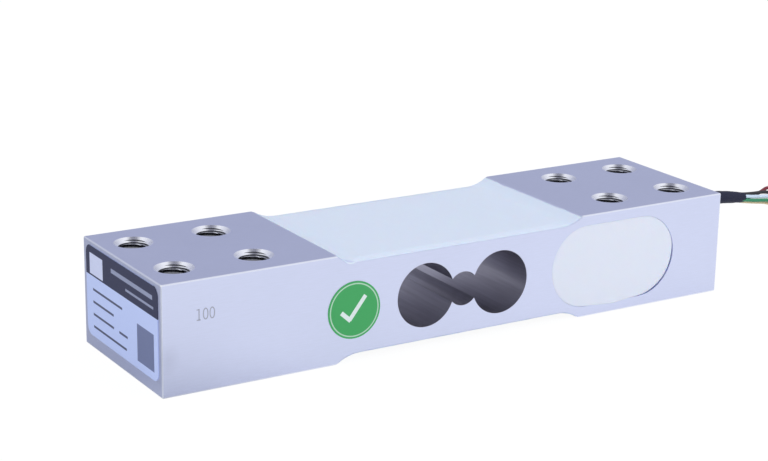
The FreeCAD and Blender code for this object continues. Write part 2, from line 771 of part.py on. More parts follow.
coating = new_body("coating_blank")
bind(coating, "Placement.Base.z", "<beam_height>")
coating_sketch = new_sketch(coating, "coating_outline", "XZ_Plane")
draw_waist(coating_sketch, "<waist_depth>")
pad(coating, coating_sketch, "<beam_width> - 2 * <coating_inset>", both_ways=True)
surface_sketch = new_sketch(coating, "coating_surface", "XZ_Plane")
draw_waist(surface_sketch, "<waist_depth> - <coating_thickness>")
pocket(coating, surface_sketch, "<beam_width> + 2", both_ways=True)

blank = coating.Shape
keep("top_coating", blank.cut(inside))
turned = blank.copy()
turned.rotate(Vector(0, 0, mid_height), Vector(1, 0, 0), 180)
keep("bottom_coating", turned.cut(inside))

potting = new_body("potting_blank")
bind(potting, "Placement.Base.y", "<potting_recess> - <beam_width> / 2")
bind(potting, "Placement.Base.z", "<beam_height> / 2")
bind(potting, "Placement.Base.x", POCKET_X)
potting_sketch = new_sketch(potting, "potting_outline", "XZ_Plane")
draw_obround(potting_sketch, "<pocket_length>", "<pocket_height>")
potting_pad = pad(potting, potting_sketch, "<pocket_depth> - <potting_recess>", reversed_way=True)
doc.recompute()
potting_round = potting.newObject("PartDesign::Fillet", "potting_round")
potting_round.Base = (potting_pad, edges_where(potting_pad, lambda e: e.BoundBox.YMax < 0.01))
bind(potting_round, "Radius", "<potting_round>")
potting.Tip = potting_round
doc.recompute()
keep("pocket_potting", potting.Shape.cut(in_pocket))

# ---------------------------------------------------------------- check and export

doc.recompute()
BLANKS = ("coating_blank", "potting_blank")
for thing in doc.Objects:
    if {"Invalid", "Error"} & set(thing.State):
        raise RuntimeError(f"{thing.Label} is {thing.State}")
nodes = [
    thing
    for thing in doc.Objects
    if thing.TypeId in ("PartDesign::Body", "Part::Feature", "Part::Box") and thing.Label not in BLANKS
]
for node in nodes:
    if node.Shape.isNull() or not node.Shape.isValid():
        raise RuntimeError(f"{node.Label} has no sound shape")
for node in nodes:
    node.Shape.exportStep(f"parts/{node.Label}.step")
    print(f"{node.Label}: {len(node.Shape.Solids)} solid(s), {node.Shape.Volume:.2f} mm3")
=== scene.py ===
"""A single point load cell: a binocular aluminium beam with bonded gauges and five leads.

Metres, in the frame's own axes: +X towards the lead end, -Y towards the near side, +Z up.
"""

import math

import bmesh
import bpy
from mathutils import Matrix, Vector, noise


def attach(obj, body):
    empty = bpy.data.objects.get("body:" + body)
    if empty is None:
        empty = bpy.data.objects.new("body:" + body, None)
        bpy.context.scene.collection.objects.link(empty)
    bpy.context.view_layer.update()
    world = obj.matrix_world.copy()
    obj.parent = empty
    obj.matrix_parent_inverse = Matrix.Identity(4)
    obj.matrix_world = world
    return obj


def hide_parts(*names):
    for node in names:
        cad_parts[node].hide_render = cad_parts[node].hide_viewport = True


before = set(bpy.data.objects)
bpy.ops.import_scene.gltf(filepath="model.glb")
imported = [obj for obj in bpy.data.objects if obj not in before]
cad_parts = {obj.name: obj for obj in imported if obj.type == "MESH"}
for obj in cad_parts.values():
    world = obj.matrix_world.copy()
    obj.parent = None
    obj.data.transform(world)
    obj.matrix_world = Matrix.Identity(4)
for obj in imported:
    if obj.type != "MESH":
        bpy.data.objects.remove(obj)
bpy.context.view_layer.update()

# ---- Camera
# It stands off the near side towards the label end, a little above the beam. The lens is long, so
# the beam tapers only a little.
camera = bpy.data.objects.new("camera", bpy.data.cameras.new("camera"))
camera.data.sensor_width = 36
camera.data.lens = 91.94
camera.location = (-0.23684, -0.36893, 0.15183)
camera.rotation_euler = [math.radians(angle) for angle in (73.349, -0.932, -31.417)]
bpy.context.scene.collection.objects.link(camera)
bpy.context.scene.camera = camera

# ---- Leads
# Five thin stranded leads with soft PVC insulation. They leave the sleeve together, sag to the table
# and are wound side by side, two on top of three, into one flat coil with their ends inside it.
lead_end = 0.075
lead_diameter = 0.0009
lead_colours = {
    "red": (0.19, 0.012, 0.03),
    "black": (0.012, 0.012, 0.016),
    "white": (0.60, 0.72, 0.86),
    "green": (0.02, 0.24, 0.11),
    "yellow": (0.72, 0.58, 0.34),
}
lead_routes = {
    "red": [
        (-0.006, 0.00076, 0.01725),
        (0.004, 0.00076, 0.01725),
        (0.014, 0.00076, 0.0169),
        (0.021, 0.00076, 0.016),
        (0.028, 0.00076, 0.01495),
        (0.0325, 0.00195, 0.0153),
        (0.0365, 0.0022, 0.0169),
        (0.041, 0.0029, 0.0129),
        (0.0454, 0.0049, 0.0053),
        (0.05, 0.00595, 0.0005),
        (0.0545, 0.00595, 0.0005),
    ],
    "black": [
        (-0.006, 0.00047, 0.01815),
        (0.004, 0.00047, 0.01815),
        (0.014, 0.00047, 0.0178),
        (0.021, 0.00047, 0.0169),
        (0.028, 0.00047, 0.01605),
        (0.035, 0.00055, 0.0160),
        (0.0405, 0.0014, 0.0122),
        (0.0454, 0.0033, 0.007),
        (0.05, 0.00548, 0.00135),
        (0.0545, 0.00548, 0.00135),
    ],
    "white": [
        (-0.006, -0.00047, 0.01815),
        (0.004, -0.00047, 0.01815),
        (0.014, -0.00047, 0.0178),
        (0.021, -0.00047, 0.0169),
        (0.028, -0.00047, 0.0155),
        (0.035, -0.0006, 0.0150),
        (0.0405, 0.0002, 0.0115),
        (0.0454, 0.0024, 0.0059),
        (0.05, 0.00452, 0.00135),
        (0.0545, 0.00452, 0.00135),
    ],
    "green": [
        (-0.006, -0.00076, 0.01725),
        (0.004, -0.00076, 0.01725),
        (0.014, -0.00076, 0.0169),
        (0.021, -0.00076, 0.016),
        (0.028, -0.00076, 0.0146),
        (0.035, -0.00095, 0.0140),
        (0.0405, -0.0004, 0.0104),
        (0.0454, 0.0018, 0.0048),
        (0.05, 0.00405, 0.0005),
        (0.0545, 0.00405, 0.0005),
    ],
    "yellow": [
        (-0.006, 0.0, 0.0167),
        (0.004, 0.0, 0.0167),
        (0.014, 0.0, 0.01635),
        (0.021, 0.0, 0.01545),
        (0.028, 0.0, 0.0140),
        (0.035, 0.00015, 0.0130),
        (0.0405, 0.0009, 0.0095),
        (0.0454, 0.003, 0.0039),
        (0.05, 0.005, 0.0005),
        (0.0545, 0.005, 0.0005),
    ],
}
# Where each lead lies in the bundle: out from the coil's middle line, and up from the table.
bundle_places = {
    "red": (0.00095, 0.0005),
    "black": (0.00048, 0.00135),
    "white": (-0.00048, 0.00135),
    "green": (-0.00095, 0.0005),
    "yellow": (0.0, 0.0005),
}
coil_centre = Vector((lead_end + 0.065, -0.009, 0))
coil_first_angle, coil_step_angle, coil_steps = 15, 30, 18
spline_pull = 0.9665  # the curve's radius, as a share of its control points' radius
coil_radius, coil_widening, coil_slip = 0.01395, 0.0004, 0.00315
tail_start = Vector((lead_end + 0.0632, -0.0193, 0))
tail_way = Vector((-0.42, 0.91, 0)).normalized()
tail_across = Vector((-tail_way.y, tail_way.x, 0))
tail_length = 0.0085


def coil_reach(turned):
    """Radius of the bundle's middle line: an outer turn that slips inside itself after half a turn."""
    slipped = min(1.0, max(0.0, (turned - 170) / 170))
    widened = coil_radius + coil_widening * min(1.0, turned / 60)
    return widened - coil_slip * slipped * slipped * (3 - 2 * slipped)


def place_node(tree, kind, inputs=None, **settings):
    """A shader node of this kind. Each of its inputs is given a constant or another node's output."""
    made = tree.nodes.new("ShaderNode" + kind)
    for name, value in settings.items():
        setattr(made, name, value)
    for name, value in (inputs or {}).items():
        if isinstance(value, bpy.types.NodeSocket):
            tree.links.new(value, made.inputs[name])
        else:
            made.inputs[name].default_value = value
    return made


def new_group(name, inputs, outputs):
    """A node group with these named inputs, each with its default, and these outputs."""
    group = bpy.data.node_groups.new(name, "ShaderNodeTree")
    for label, (kind, default) in inputs.items():
        socket = group.interface.new_socket(label, in_out="INPUT", socket_type="NodeSocket" + kind)
        if default is not None:
            socket.default_value = default
    for label, kind in outputs.items():
        group.interface.new_socket(label, in_out="OUTPUT", socket_type="NodeSocket" + kind)
    return group, group.nodes.new("NodeGroupInput").outputs, group.nodes.new("NodeGroupOutput").inputs


# Fine grain: one noise that tints a colour, swings a roughness and raises the surface by its depth.
fine_grain, given, made = new_group(
    "fine_grain",
    {
        "Vector": ("Vector", None),
        "Colour": ("Color", (0.5, 0.5, 0.5, 1)),
        "Roughness": ("Float", 0.4),
        "Cells": ("Vector", (1000, 1000, 1000)),
        "Depth": ("Float", 0.00001),
        "Mottle": ("Float", 0.05),
        "Swing": ("Float", 0.05),
    },
    {"Colour": "Color", "Roughness": "Float", "Normal": "Vector"},
)
spread = place_node(fine_grain, "Mapping", {"Vector": given["Vector"], "Scale": given["Cells"]})
cells = place_node(
    fine_grain, "TexNoise", {"Vector": spread.outputs[0], "Scale": 1.0, "Detail": 3.0, "Roughness": 0.6}
)
signed = place_node(fine_grain, "Math", {0: cells.outputs[0], 1: 0.5}, operation="SUBTRACT")
tone = place_node(
    fine_grain, "Math", {0: signed.outputs[0], 1: given["Mottle"], 2: 1.0}, operation="MULTIPLY_ADD"
)
tinted = place_node(
    fine_grain, "VectorMath", {0: given["Colour"], "Scale": tone.outputs[0]}, operation="SCALE"
)
swung = place_node(
    fine_grain,
    "Math",
    {0: signed.outputs[0], 1: given["Swing"], 2: given["Roughness"]},
    operation="MULTIPLY_ADD",
)
raised = place_node(
    fine_grain, "Bump", {"Strength": 1.0, "Distance": given["Depth"], "Height": cells.outputs[0]}
)
fine_grain.links.new(tinted.outputs[0], made["Colour"])
fine_grain.links.new(swung.outputs[0], made["Roughness"])
fine_grain.links.new(raised.outputs[0], made["Normal"])


def new_material(name, **constants):
    """A material, its tree, its shader and its Object coordinates. Constants go on the shader."""
    material = bpy.data.materials.new(name)
    material.use_nodes = True
    tree = material.node_tree
    shader = tree.nodes["Principled BSDF"]
    for socket, value in constants.items():
        shader.inputs[socket.replace("_", " ")].default_value = value
    return material, tree, shader, place_node(tree, "TexCoord").outputs["Object"]


def give_grain(tree, shader, position, colour, roughness, cells, depth, mottle, swing):
    """Runs a colour, constant or from a node, through the fine grain and into the shader."""
    grain = place_node(
        tree,
        "Group",
        {
            "Vector": position,
            "Colour": colour,
            "Roughness": roughness,
            "Cells": cells,
            "Depth": depth,
            "Mottle": mottle,
            "Swing": swing,
        },
        node_tree=fine_grain,
    )
    for output, socket in (("Colour", "Base Color"), ("Roughness", "Roughness"), ("Normal", "Normal")):
        tree.links.new(grain.outputs[output], shader.inputs[socket])


def grained_material(name, colour, roughness, cells, depth, mottle=0.08, swing=0.1, **constants):
    """A material of one colour with a fine grain."""
    material, tree, shader, position = new_material(name, **constants)
    give_grain(tree, shader, position, (*colour, 1), roughness, cells, depth, mottle, swing)
    return material


def lay_spline(name, points, thickness, radii=None):
    """A round cord on one open spline along these control points, ready for its material."""
    curve = bpy.data.curves.new(name, "CURVE")
    curve.dimensions = "3D"
    curve.resolution_u = 12
    curve.bevel_depth = thickness / 2
    curve.bevel_resolution = 5
    curve.use_fill_caps = True
    spline = curve.splines.new("NURBS")
    spline.points.add(len(points) - 1)
    for index, (control, place) in enumerate(zip(spline.points, points)):
        control.co = (*place, 1)
        control.radius = radii[index] if radii else 1.0
    spline.order_u = 3
    spline.use_endpoint_u = True
    piece = bpy.data.objects.new(name, curve)
    bpy.context.scene.collection.objects.link(piece)
    return piece


for colour, route in lead_routes.items():
    out, height = bundle_places[colour]
    points = [Vector((lead_end + x, y, z)) for x, y, z in route]
    for step in range(coil_steps):
        turned = coil_first_angle + coil_step_angle * step
        reach = (coil_reach(turned) + out) / spline_pull
        angle = math.radians(turned)
        points.append(coil_centre + Vector((reach * math.sin(angle), reach * math.cos(angle), height)))
    tail = tail_start + tail_across * out + Vector((0, 0, height))
    points += [tail, tail + tail_way * tail_length]
    lead = lay_spline(f"lead_{colour}_wire", points, lead_diameter)
    lead.data.materials.append(
        grained_material(
            f"lead_insulation_{colour}",
            lead_colours[colour],
            0.38,
            (900, 900, 900),
            0.00002,
            mottle=0.18,
            swing=0.16,
            IOR=1.5,
        )
    )
    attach(lead, "root")
    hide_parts(f"lead_{colour}", "lead_coil")

# ---- Sleeve
# A short black heat-shrink sleeve. It gathers the leads where they leave the bore and grips them at
# its mouth, where it has drawn in.
sleeve_diameter, sleeve_wall, wrinkle_depth = 0.0031, 0.00025, 0.00007
sleeve_route = [
    (lead_end - 0.006, 0, 0.0175),
    (lead_end + 0.004, 0, 0.0175),
    (lead_end + 0.014, 0, 0.01715),
    (lead_end + 0.021, 0, 0.01625),
    (lead_end + 0.0254, 0, 0.01562),
]


def evaluated_mesh(piece):
    """The mesh that a curve or a text makes. The curve or text itself is removed."""
    mesh = bpy.data.meshes.new_from_object(piece.evaluated_get(bpy.context.evaluated_depsgraph_get()))
    bpy.data.objects.remove(piece)
    return mesh


def keep_shape(name, shape, material, smooth=False):
    """Makes a bmesh into an object with its material. The bmesh is freed."""
    mesh = bpy.data.meshes.new(name)
    shape.to_mesh(mesh)
    shape.free()
    if smooth:
        mesh.shade_smooth()
    mesh.materials.append(material)
    piece = bpy.data.objects.new(name, mesh)
    bpy.context.scene.collection.objects.link(piece)
    return piece


sleeve_cord = lay_spline("sleeve_cord", sleeve_route, sleeve_diameter, [0.95, 0.97, 1.06, 1.04, 0.82])
sleeve_cord.data.use_fill_caps = False
sleeve_mesh = evaluated_mesh(sleeve_cord)
shrunk = bmesh.new()
shrunk.from_mesh(sleeve_mesh)
bmesh.ops.recalc_face_normals(shrunk, faces=shrunk.faces)
for corner in shrunk.verts:
    wrinkle = noise.noise(corner.co * 700) + 0.5 * noise.noise(corner.co * 1900)
    corner.co += corner.normal * wrinkle_depth * wrinkle
bmesh.ops.solidify(shrunk, geom=shrunk.faces[:], thickness=sleeve_wall)
bpy.data.meshes.remove(sleeve_mesh)
heat_shrink = grained_material(
    "heat_shrink", (0.008, 0.011, 0.036), 0.6, (1400, 2200, 2200), 0.00004, 0.25, 0.2, IOR=1.4
)
sleeve = keep_shape("heat_shrink_sleeve", shrunk, heat_shrink, smooth=True)
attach(sleeve, "root")
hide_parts("lead_sleeve")

# ---- Lead ends
# Each lead is stripped of its insulation at the far end. Its fine copper strands are twisted together
# and tinned there.
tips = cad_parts["lead_tips"]
tips.material_slots[0].material = grained_material(
    "tinned_strands", (0.72, 0.71, 0.69), 0.3, (5000, 5000, 9000), 0.00003, Metallic=1.0
)

# ---- Tie
# A thin strip of clear polyester tape is wound once round both turns of the coil, flat on the table,
# and holds them together.
tie_middle = coil_centre + Vector((0.0128, 0, 0.00096))
tie_half_across, tie_half_up, tie_width, tie_thickness = 0.0032, 0.00093, 0.0025, 0.00006
tie = bmesh.new()
loop = bmesh.ops.create_circle(tie, segments=40, radius=1.0)["verts"]
for corner in loop:
    across, up = corner.co.x, corner.co.y
    corner.co = tie_middle + Vector(
        (
            tie_half_across * math.copysign(abs(across) ** 0.35, across),
            -tie_width / 2,
            tie_half_up * math.copysign(abs(up) ** 0.5, up),
        )
    )
swept = bmesh.ops.extrude_edge_only(tie, edges=tie.edges[:])["geom"]
swept_corners = [part for part in swept if isinstance(part, bmesh.types.BMVert)]
bmesh.ops.translate(tie, verts=swept_corners, vec=(0, tie_width, 0))
bmesh.ops.recalc_face_normals(tie, faces=tie.faces)
tie_tape = grained_material(
    "tie_tape", (0.62, 0.64, 0.68), 0.32, (2500, 2500, 2500), 0.00001, IOR=1.47
)
tie_strip = keep_shape("coil_tie", tie, tie_tape, smooth=True)
thickness = tie_strip.modifiers.new("thickness", "SOLIDIFY")
thickness.thickness = tie_thickness
thickness.offset = 1
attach(tie_strip, "root")

# ---- Floor, world and lamps
# A pale table runs to a white background. It shows plain white to the camera and mostly white in
# metal, and keeps a soft shadow. The far side and the ceiling look dimmer in the metal's faces.


def add_backdrop(tree, lit, white_kind, white_strength, plain_share, mirror_share, mirror_level):
    """Mixes a lit shader with plain white: one share for the camera and one for reflections."""
    rays = place_node(tree, "LightPath")
    clear = place_node(
        tree,
        "Math",
        {0: rays.outputs["Is Glossy Ray"], 1: rays.outputs["Is Transmission Ray"]},
        operation="MAXIMUM",
    )
    level = place_node(
        tree, "MixRGB", {"Fac": clear.outputs[0], "Color1": (1, 1, 1, 1), "Color2": mirror_level}
    )
    white = place_node(tree, white_kind, {"Color": level.outputs[0], "Strength": white_strength})
    camera_part = place_node(
        tree, "Math", {0: rays.outputs["Is Camera Ray"], 1: plain_share}, operation="MULTIPLY"
    )
    share = place_node(
        tree,
        "Math",
        {0: clear.outputs[0], 1: mirror_share, 2: camera_part.outputs[0]},
        operation="MULTIPLY_ADD",
    )
    mixed = place_node(tree, "MixShader", {0: share.outputs[0], 1: lit, 2: white.outputs[0]})
    return mixed.outputs[0]


def falloff(tree, direction, toward, near, far, dim):
    """A level that falls from white to dim, the further a place or a direction lies this way."""
    along = place_node(tree, "VectorMath", {0: direction, 1: toward}, operation="DOT_PRODUCT")
    share = place_node(
        tree, "MapRange", {"Value": along.outputs["Value"], "From Min": near, "From Max": far}
    )
    level = place_node(
        tree, "MixRGB", {"Fac": share.outputs[0], "Color1": (1, 1, 1, 1), "Color2": (*dim, 1)}
    )
    return level.outputs[0]


table_top = bpy.data.materials.new("table_top")
table_top.use_nodes = True
tree = table_top.node_tree
tree.nodes.remove(tree.nodes["Principled BSDF"])
matt = place_node(tree, "BsdfDiffuse", {"Color": (0.86, 0.87, 0.88, 1)})
table_place = place_node(tree, "TexCoord").outputs["Object"]
table_level = falloff(tree, table_place, (-0.75, 0.66, 0), 0.01, 0.055, (0.26, 0.27, 0.32))
shown = add_backdrop(tree, matt.outputs[0], "Emission", 1.04, 0.9, 0.6, table_level)
tree.links.new(shown, tree.nodes["Material Output"].inputs["Surface"])
table = bmesh.new()
bmesh.ops.create_grid(table, x_segments=1, y_segments=1, size=5)
keep_shape("floor", table, table_top)

world = bpy.data.worlds.new("studio")
bpy.context.scene.world = world
world.use_nodes = True
tree = world.node_tree
room = tree.nodes["Background"]
room.inputs["Color"].default_value = (0.93, 0.96, 1.0, 1)
room.inputs["Strength"].default_value = 0.68
sight = place_node(tree, "TexCoord").outputs["Generated"]
wall_level = falloff(tree, sight, (0.35, 0.94, 0), -0.1, 1.0, (0.43, 0.445, 0.55))
ceiling_level = falloff(tree, sight, (-0.15, -0.24, 0.96), 0.90, 0.985, (0.22, 0.22, 0.27))
room_level = place_node(
    tree, "MixRGB", {"Fac": 1.0, "Color1": wall_level, "Color2": ceiling_level}, blend_type="MULTIPLY"
)
shown = add_backdrop(tree, room.outputs[0], "Background", 1.0, 1.0, 1.0, room_level.outputs[0])
tree.links.new(shown, tree.nodes["World Output"].inputs["Surface"])

# Only the softbox at the label end shows in polished metal.
for name, place, side, power, mirrored in (
    ("key_softbox", (0.75, -0.80, 0.70), 0.7, 5.0, False),
    ("end_softbox", (-1.0, -0.10, 0.45), 0.8, 1.6, True),
    ("overhead_softbox", (-0.1, 0.2, 1.1), 0.8, 2.0, False),
):
    lamp = bpy.data.lights.new(name, "AREA")
    lamp.size = side
    lamp.energy = power
    softbox = bpy.data.objects.new(name, lamp)
    softbox.location = place
    softbox.rotation_euler = Vector(place).to_track_quat("Z", "Y").to_euler()
    softbox.visible_glossy = mirrored
    bpy.context.scene.collection.objects.link(softbox)
bpy.context.scene.view_settings.view_transform = "Standard"

# ---- Beam
# One block of machined aluminium: sawn from bar, face milled along its length and clear anodised.
# Its grain runs along it, and handling has left a faint smudge low on the near side.
beam_length, beam_width, beam_height = 0.150, 0.040, 0.025
flexure_bore_x, flexure_bore_radius, neck_radius = 0.010, 0.0075, 0.004
screw_columns, screw_row, countersink_radius = (0.0673, 0.0483), 0.0103, 0.0044
thread_root, mask_margin = 0.00345, 0.00002
highlight_from, highlight_to = 0.00032, 0.00027
# The bored tone is the bored holes' greyer metal together with painted shade inside them.
metal_colour, bore_grey_and_painted_shade = (0.68, 0.72, 0.92), (0.72, 0.67, 0.60)
# The edge tone is a painted highlight along the broken edges.
painted_edge_highlight, countersink_cut_and_highlight = (1.2, 1.18, 1.06, 1), (1.26, 1.22, 1.05, 1)
side_view, plan_view = (1, 0, 1), (1, 1, 0)
beam_middle = (0, 0, beam_height / 2)
aluminium, tree, shader, position = new_material(
    "milled_aluminium", Metallic=1.0, Specular_IOR_Level=0.5
)
cloud_place = place_node(tree, "Mapping", {"Vector": position, "Scale": (40, 40, 40)})
cloud = place_node(tree, "TexNoise", {"Vector": cloud_place.outputs[0], "Scale": 1.0, "Detail": 2.0})
smudge_middle, smudge_scale = (-0.0735, -0.020, 0.0085), (330, 330, 260)
smudge_shift = tuple(-middle * scale for middle, scale in zip(smudge_middle, smudge_scale))
smudge_place = place_node(
    tree, "Mapping", {"Vector": position, "Location": smudge_shift, "Scale": smudge_scale}
)
smudge = place_node(tree, "TexGradient", {"Vector": smudge_place.outputs[0]}, gradient_type="SPHERICAL")
dulled = place_node(
    tree, "Math", {0: smudge.outputs["Fac"], 1: -0.09, 2: 0.97}, operation="MULTIPLY_ADD"
)
clouded = place_node(
    tree, "Math", {0: cloud.outputs[0], 1: 0.06, 2: dulled.outputs[0]}, operation="MULTIPLY_ADD"
)
tinted = place_node(
    tree, "VectorMath", {0: metal_colour, "Scale": clouded.outputs[0]}, operation="SCALE"
)
shaded = tinted.outputs[0]

# A painted highlight: the broken edges are painted brighter than the faces, as if they caught the
# light. Of a place's three distances from the beam's middle,
#  two add up to the most at an edge.
from_middle = place_node(tree, "VectorMath", {0: position, 1: beam_middle}, operation="SUBTRACT")
folded = place_node(tree, "VectorMath", {0: from_middle.outputs[0]}, operation="ABSOLUTE")
for both_ways, corner_sum in (
    ((0, 1, 1), (beam_width + beam_height) / 2),
    ((1, 1, 0), (beam_length + beam_width) / 2),
    ((1, 0, 1), (beam_length + beam_height) / 2),
):
    out = place_node(tree, "VectorMath", {0: folded.outputs[0], 1: both_ways}, operation="DOT_PRODUCT")
    edge_highlight_band = place_node(
        tree,
        "MapRange",
        {
            "Value": out.outputs["Value"],
            "From Min": corner_sum - highlight_from,
            "From Max": corner_sum - highlight_to,
        },
    )
    edge_highlighted = place_node(
        tree,
        "MixRGB",
        {"Fac": edge_highlight_band.outputs[0], "Color1": shaded, "Color2": painted_edge_highlight},
        blend_type="MULTIPLY",
    )
    shaded = edge_highlighted.outputs[0]

# How far a place is from a bore's axis, and a mask that is 1 inside the bore's radius. Both ends and
# both sides are folded together first, so that one bore serves all four.
bore_mask, given, made = new_group(
    "bore_mask",
    {
        "Vector": ("Vector", None),
        "Axis": ("Vector", (0, 0, 0)),
        "Across": ("Vector", (1, 1, 0)),
        "Radius": ("Float", 0.01),
    },
    {"Mask": "Float", "Reach": "Float"},
)
folded = place_node(bore_mask, "VectorMath", {0: given["Vector"]}, operation="ABSOLUTE")
offset = place_node(
    bore_mask, "VectorMath", {0: folded.outputs[0], 1: given["Axis"]}, operation="SUBTRACT"
)
flat = place_node(
    bore_mask, "VectorMath", {0: offset.outputs[0], 1: given["Across"]}, operation="MULTIPLY"
)
reach = place_node(bore_mask, "VectorMath", {0: flat.outputs[0]}, operation="LENGTH")
within = place_node(
    bore_mask, "Math", {0: reach.outputs["Value"], 1: given["Radius"]}, operation="LESS_THAN"
)
bore_mask.links.new(within.outputs[0], made["Mask"])
bore_mask.links.new(reach.outputs["Value"], made["Reach"])


def place_bores(tree, position, bores):
    """The outputs of these bores' masks. A bore is its axis, the plane across it and its radius."""
    return [
        place_node(
            tree,
            "Group",
            {"Vector": position, "Axis": axis, "Across": across, "Radius": radius},
            node_tree=bore_mask,
        ).outputs
        for axis, across, radius in bores
    ]


def tone_bores(tree, position, colour, tone, bores):
    """Multiplies a colour by a tone inside these bores."""
    for bore in place_bores(tree, position, bores):
        mixed = place_node(
            tree,
            "MixRGB",
            {"Fac": bore["Mask"], "Color1": colour, "Color2": tone},
            blend_type="MULTIPLY",
        )
        colour = mixed.outputs[0]
    return colour


def screw_holes(radius):
    """The bores of both screw columns, taken this wide."""
    return [((column, screw_row, 0), plan_view, radius) for column in screw_columns]


# The bored holes are greyer than the milled faces, with marks drawn out along them, and their tone is
# also painted shade inside them.
#  The countersinks are cut smoother than the faces and painted brighter, partly as their bright cut and
#  partly as a painted highlight, and the tapped holes get painted shade that deepens with depth.
marks_place = place_node(tree, "Mapping", {"Vector": position, "Scale": (1500, 60, 1500)})
marks = place_node(tree, "TexNoise", {"Vector": marks_place.outputs[0], "Scale": 1.0, "Detail": 2.0})
marked = place_node(
    tree,
    "MapRange",
    {"Value": marks.outputs[0], "From Min": 0.3, "From Max": 0.7, "To Min": 0.92, "To Max": 1.08},
)
bored = place_node(
    tree, "VectorMath", {0: bore_grey_and_painted_shade, "Scale": marked.outputs[0]}, operation="SCALE"
)
shaded = tone_bores(
    tree,
    position,
    shaded,
    bored.outputs[0],
    [
        ((flexure_bore_x, 0, beam_height / 2), side_view, flexure_bore_radius + mask_margin),
        (beam_middle, side_view, neck_radius + mask_margin),
    ],
)
countersinks = screw_holes(countersink_radius - mask_margin)
# The countersinks are painted brighter: partly their bright bare cut, partly a painted highlight.
shaded = tone_bores(tree, position, shaded, countersink_cut_and_highlight, countersinks)
# Painted shade: the tapped holes are darkened more the further they lie below the top face.
height = place_node(tree, "SeparateXYZ", {0: position})
painted_depth_shade = place_node(
    tree,
    "MapRange",
    {
        "Value": height.outputs["Z"],
        "From Min": 0.0219,
        "From Max": 0.0242,
        "To Min": 0.25,
        "To Max": 0.6,
    },
)
shaded = tone_bores(tree, position, shaded, painted_depth_shade.outputs[0], screw_holes(thread_root))
outer, inner = place_bores(tree, position, countersinks)
in_sinks = place_node(tree, "Math", {0: outer["Mask"], 1: inner["Mask"]}, operation="MAXIMUM")
polish = place_node(
    tree, "Math", {0: in_sinks.outputs[0], 1: -0.16, 2: 0.4}, operation="MULTIPLY_ADD"
)
give_grain(tree, shader, position, shaded, polish.outputs[0], (260, 3800, 3800), 0.000012, 0.10, 0.16)
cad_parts["beam"].material_slots[0].material = aluminium

# ---- Screw threads
# Eight M8 holes are tapped right through. Each thread is one ridge wound up the hole's wall. Its ends
# sink into the wall at the countersinks.
#  Where a groove breaks out over each cone, a thin dark sheet lies just proud of it as painted shade.
thread_pitch, thread_turns, thread_steps = 0.00125, 18.5, 24
thread_crest, thread_low, run_out_depth, run_out_slope = 0.00319, 0.0003, 0.0014, 1.3
ridge_profile = [
    (thread_root, 0.0),
    (thread_crest, 0.00054),
    (thread_crest, 0.0007),
    (thread_root, 0.00124),
]
sliver_angle, sliver_half_angle = 55, 42
sliver_reach, sliver_rise, sliver_half_width, sliver_proud = 0.00374, 0.0001, 0.00014, 0.00002
hole_axes = [
    Vector((end * column, side * screw_row, 0))
    for end in (-1, 1)
    for column in screw_columns
    for side in (-1, 1)
]


def level_axis(place):
    """The point level with this place on the nearest screw hole's axis."""
    axis = min(hole_axes, key=lambda axis: (place.xy - axis.xy).length)
    return Vector((axis.x, axis.y, place.z))


thread = bmesh.new()
for axis in hole_axes:
    profile = [
        thread.verts.new(axis + Vector((reach, 0, thread_low + lift))) for reach, lift in ridge_profile
    ]
    ridge = [thread.edges.new(pair) for pair in zip(profile, profile[1:])]
    bmesh.ops.spin(
        thread,
        geom=profile + ridge,
        cent=axis,
        axis=(0, 0, 1),
        dvec=(0, 0, thread_pitch / thread_steps),
        angle=2 * math.pi * thread_turns,
        steps=round(thread_turns * thread_steps),
        use_merge=False,
    )
for corner in thread.verts:
    from_face = min(corner.co.z, beam_height - corner.co.z)
    run_out = run_out_slope * max(0.0, run_out_depth - from_face)
    corner.co += (corner.co - level_axis(corner.co)).normalized() * run_out
# Each sliver is a thin sheet just proud of the cone, dark with painted groove shade from the thread's
# material.
for axis in hole_axes:
    for upper in (True, False):
        sliver = bmesh.ops.create_grid(thread, x_segments=16, y_segments=2, size=1.0)["verts"]
        for corner in sliver:
            along, across = corner.co.x, corner.co.y
            angle = math.radians(sliver_angle + sliver_half_angle * along)
            half_width = sliver_half_width * (1 - along * along)
            reach = sliver_reach + sliver_rise * along + half_width * across
            depth = countersink_radius - reach
            reach -= sliver_proud + sliver_proud * (1 - abs(across))
            corner.co = axis + Vector(
                (
                    reach * math.cos(angle),
                    reach * math.sin(angle),
                    beam_height - depth if upper else depth,
                )
            )
# Every face looks in at its hole's axis.
thread.normal_update()
turned_away = []
for face in thread.faces:
    middle = face.calc_center_median()
    if face.normal.dot(level_axis(middle) - middle) < 0:
        turned_away.append(face)
bmesh.ops.reverse_faces(thread, faces=turned_away)

# Painted shade darkens the thread down the hole and in its root, so that it is brightest at the mouth
# and on its crests.
cut_thread, tree, shader, position = new_material("cut_thread", Metallic=1.0)
height = place_node(tree, "SeparateXYZ", {0: position})
painted_depth_shade = place_node(
    tree,
    "MapRange",
    {
        "Value": height.outputs["Z"],
        "From Min": 0.0223,
        "From Max": 0.0239,
        "To Min": 0.16,
        "To Max": 0.85,
    },
)
outer, inner = place_bores(tree, position, screw_holes(thread_root))
reach = place_node(tree, "Math", {0: outer["Reach"], 1: inner["Reach"]}, operation="MINIMUM")
painted_root_shade = place_node(
    tree,
    "MapRange",
    {
        "Value": reach.outputs[0],
        "From Min": 0.00325,
        "From Max": 0.00342,
        "To Min": 1.0,
        "To Max": 0.25,
    },
)
painted_thread_shade = place_node(
    tree, "Math", {0: painted_root_shade.outputs[0], 1: painted_depth_shade.outputs[0]}, operation="MULTIPLY"
)
